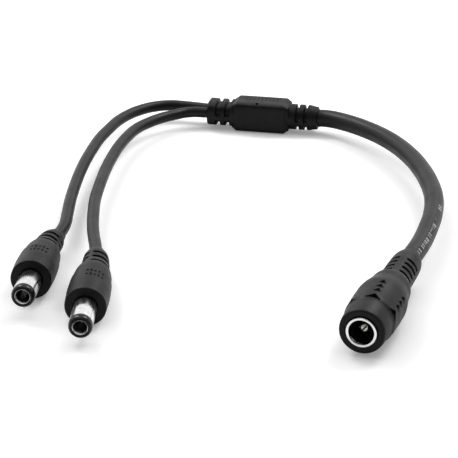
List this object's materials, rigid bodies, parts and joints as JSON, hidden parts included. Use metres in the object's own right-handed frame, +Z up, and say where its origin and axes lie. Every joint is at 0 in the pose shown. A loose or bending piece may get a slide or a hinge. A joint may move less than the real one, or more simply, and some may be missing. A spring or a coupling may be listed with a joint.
{
  "type": "dc power splitter cable",
  "caption": "Moulded low-voltage power splitter lead: an inline barrel socket on a trunk cable, a Y junction, and thinner branch cables that end in barrel plugs.",
  "frame": {"origin": "centre of the connectors' and junction's common box, on the plane that the lead lies on", "axes": "+Z up from that plane, +Y from the connectors' mouths towards the junction, +X towards the socket's side"},
  "size_m": [0.1063, 0.1616, 0.0122],
  "materials": {
    "moulded_rubber": "satin moulded PVC, slightly glossy on the shoulders",
    "hard_mould": "plain moulded",
    "cable_jacket": "smooth extruded PVC, satin",
    "gloss_insulator": "polished moulded",
    "nickel": "bright nickel plate, fine turned lines",
    "contact_metal": "plated contact, turned",
    "solder": "satin solder",
    "red_insulation": "satin",
    "black_insulation": "satin"
  },
  "bodies": {
    "root": {"socket_overmould": "moulded_rubber", "socket_inner_mould": "hard_mould", "socket_shell": "nickel", "socket_insert": "gloss_insulator", "socket_centre_pin": "contact_metal", "socket_leaf_contact": "contact_metal", "socket_solder_positive": "solder", "socket_solder_negative": "solder", "plug_a_overmould": "moulded_rubber", "plug_a_inner_mould": "hard_mould", "plug_a_sleeve": "nickel", "plug_a_insulator": "gloss_insulator", "plug_a_centre_contact": "contact_metal", "plug_a_sleeve_tag": "nickel", "plug_a_solder_positive": "solder", "plug_a_solder_negative": "solder", "plug_b_overmould": "moulded_rubber", "plug_b_inner_mould": "hard_mould", "plug_b_sleeve": "nickel", "plug_b_insulator": "gloss_insulator", "plug_b_centre_contact": "contact_metal", "plug_b_sleeve_tag": "nickel", "plug_b_solder_positive": "solder", "plug_b_solder_negative": "solder", "junction_overmould": "moulded_rubber", "junction_crimp_positive": "contact_metal", "junction_crimp_negative": "contact_metal", "junction_shrink_positive": "black_insulation", "junction_shrink_negative": "black_insulation", "trunk_jacket": "cable_jacket", "trunk_wire_positive": "red_insulation", "trunk_wire_negative": "black_insulation", "branch_a_jacket": "cable_jacket", "branch_a_wire_positive": "red_insulation", "branch_a_wire_negative": "black_insulation", "branch_b_jacket": "cable_jacket", "branch_b_wire_positive": "red_insulation", "branch_b_wire_negative": "black_insulation"}
  },
  "joints": []
}
